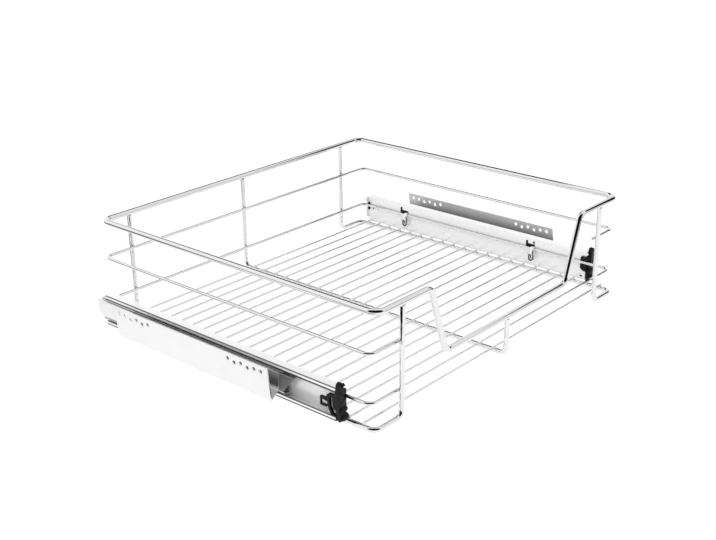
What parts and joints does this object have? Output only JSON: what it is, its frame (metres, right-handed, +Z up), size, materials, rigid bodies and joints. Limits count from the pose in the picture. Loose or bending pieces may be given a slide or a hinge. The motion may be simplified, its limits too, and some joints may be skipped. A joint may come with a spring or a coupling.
{
  "type": "pull out cabinet basket",
  "caption": "Chrome wire pull-out basket with a dipped front, on telescopic ball runners with screw brackets for a base cabinet's side panels.",
  "frame": {"origin": "middle of the bounding box's base: the basket's lowest wires stand on Z = 0, and X = 0, Y = 0 is the basket's middle", "axes": "+X runs across the cabinet to the right, +Y runs to the cabinet's back and -Y is the basket's front, +Z is up"},
  "size_m": [0.564, 0.4454, 0.1387],
  "materials": {
    "chrome_wire": "polished chrome plate",
    "zinc_steel": "bright zinc plate on rolled steel",
    "rivet_steel": "zinc plated",
    "cage_steel": "plain pressed strip, oiled",
    "ball_steel": "polished",
    "black_plastic": "moulded, fine grain"
  },
  "bodies": {
    "basket": {"rim_wire": "chrome_wire", "upper_side_ring": "chrome_wire", "lower_side_ring": "chrome_wire", "left_base_frame": "chrome_wire", "right_base_frame": "chrome_wire", "middle_support": "chrome_wire", "floor_wire_1": "chrome_wire", "floor_wire_2": "chrome_wire", "floor_wire_3": "chrome_wire", "floor_wire_4": "chrome_wire", "floor_wire_5": "chrome_wire", "floor_wire_6": "chrome_wire", "floor_wire_7": "chrome_wire", "floor_wire_8": "chrome_wire", "floor_wire_9": "chrome_wire", "floor_wire_10": "chrome_wire", "floor_wire_11": "chrome_wire", "floor_wire_12": "chrome_wire", "floor_wire_13": "chrome_wire", "floor_wire_14": "chrome_wire", "floor_wire_15": "chrome_wire", "floor_wire_16": "chrome_wire", "floor_wire_17": "chrome_wire", "floor_wire_18": "chrome_wire", "floor_wire_19": "chrome_wire", "floor_wire_20": "chrome_wire", "floor_wire_21": "chrome_wire", "left_carrier_rail": "zinc_steel", "left_front_clip": "black_plastic", "left_rear_clip": "black_plastic", "right_carrier_rail": "zinc_steel", "right_front_clip": "black_plastic", "right_rear_clip": "black_plastic"},
    "left_cabinet_member": {"left_cabinet_rail": "zinc_steel", "left_bracket": "zinc_steel", "left_bracket_rivets": "rivet_steel"},
    "left_middle_member": {"left_middle_rail": "zinc_steel"},
    "left_outer_ball_cage": {"left_outer_cage": "cage_steel", "left_outer_balls": "ball_steel"},
    "left_inner_ball_cage": {"left_inner_cage": "cage_steel", "left_inner_balls": "ball_steel"},
    "right_cabinet_member": {"right_cabinet_rail": "zinc_steel", "right_bracket": "zinc_steel", "right_bracket_rivets": "rivet_steel"},
    "right_middle_member": {"right_middle_rail": "zinc_steel"},
    "right_outer_ball_cage": {"right_outer_cage": "cage_steel", "right_outer_balls": "ball_steel"},
    "right_inner_ball_cage": {"right_inner_cage": "cage_steel", "right_inner_balls": "ball_steel"}
  },
  "joints": [
    {"name": "left_runner_slide", "type": "slide", "parent": "basket", "child": "left_cabinet_member", "axis": [0, 1, 0], "range_m": [-0.016, 0.334]},
    {"name": "left_middle_slide", "type": "slide", "parent": "basket", "child": "left_middle_member", "axis": [0, 1, 0], "range_m": [-0.008, 0.167]},
    {"name": "left_outer_cage_roll", "type": "slide", "parent": "basket", "child": "left_outer_ball_cage", "axis": [0, 1, 0], "range_m": [-0.004, 0.0835]},
    {"name": "left_inner_cage_roll", "type": "slide", "parent": "basket", "child": "left_inner_ball_cage", "axis": [0, 1, 0], "range_m": [-0.012, 0.2505]},
    {"name": "right_runner_slide", "type": "slide", "parent": "basket", "child": "right_cabinet_member", "axis": [0, 1, 0], "range_m": [-0.016, 0.334]},
    {"name": "right_middle_slide", "type": "slide", "parent": "basket", "child": "right_middle_member", "axis": [0, 1, 0], "range_m": [-0.008, 0.167]},
    {"name": "right_outer_cage_roll", "type": "slide", "parent": "basket", "child": "right_outer_ball_cage", "axis": [0, 1, 0], "range_m": [-0.004, 0.0835]},
    {"name": "right_inner_cage_roll", "type": "slide", "parent": "basket", "child": "right_inner_ball_cage", "axis": [0, 1, 0], "range_m": [-0.012, 0.2505]}
  ],
  "couplings": [
    {"joint": "left_middle_slide", "follows": "left_runner_slide", "ratio": 0.5},
    {"joint": "left_outer_cage_roll", "follows": "left_runner_slide", "ratio": 0.25},
    {"joint": "left_inner_cage_roll", "follows": "left_runner_slide", "ratio": 0.75},
    {"joint": "right_middle_slide", "follows": "right_runner_slide", "ratio": 0.5},
    {"joint": "right_outer_cage_roll", "follows": "right_runner_slide", "ratio": 0.25},
    {"joint": "right_inner_cage_roll", "follows": "right_runner_slide", "ratio": 0.75}
  ]
}
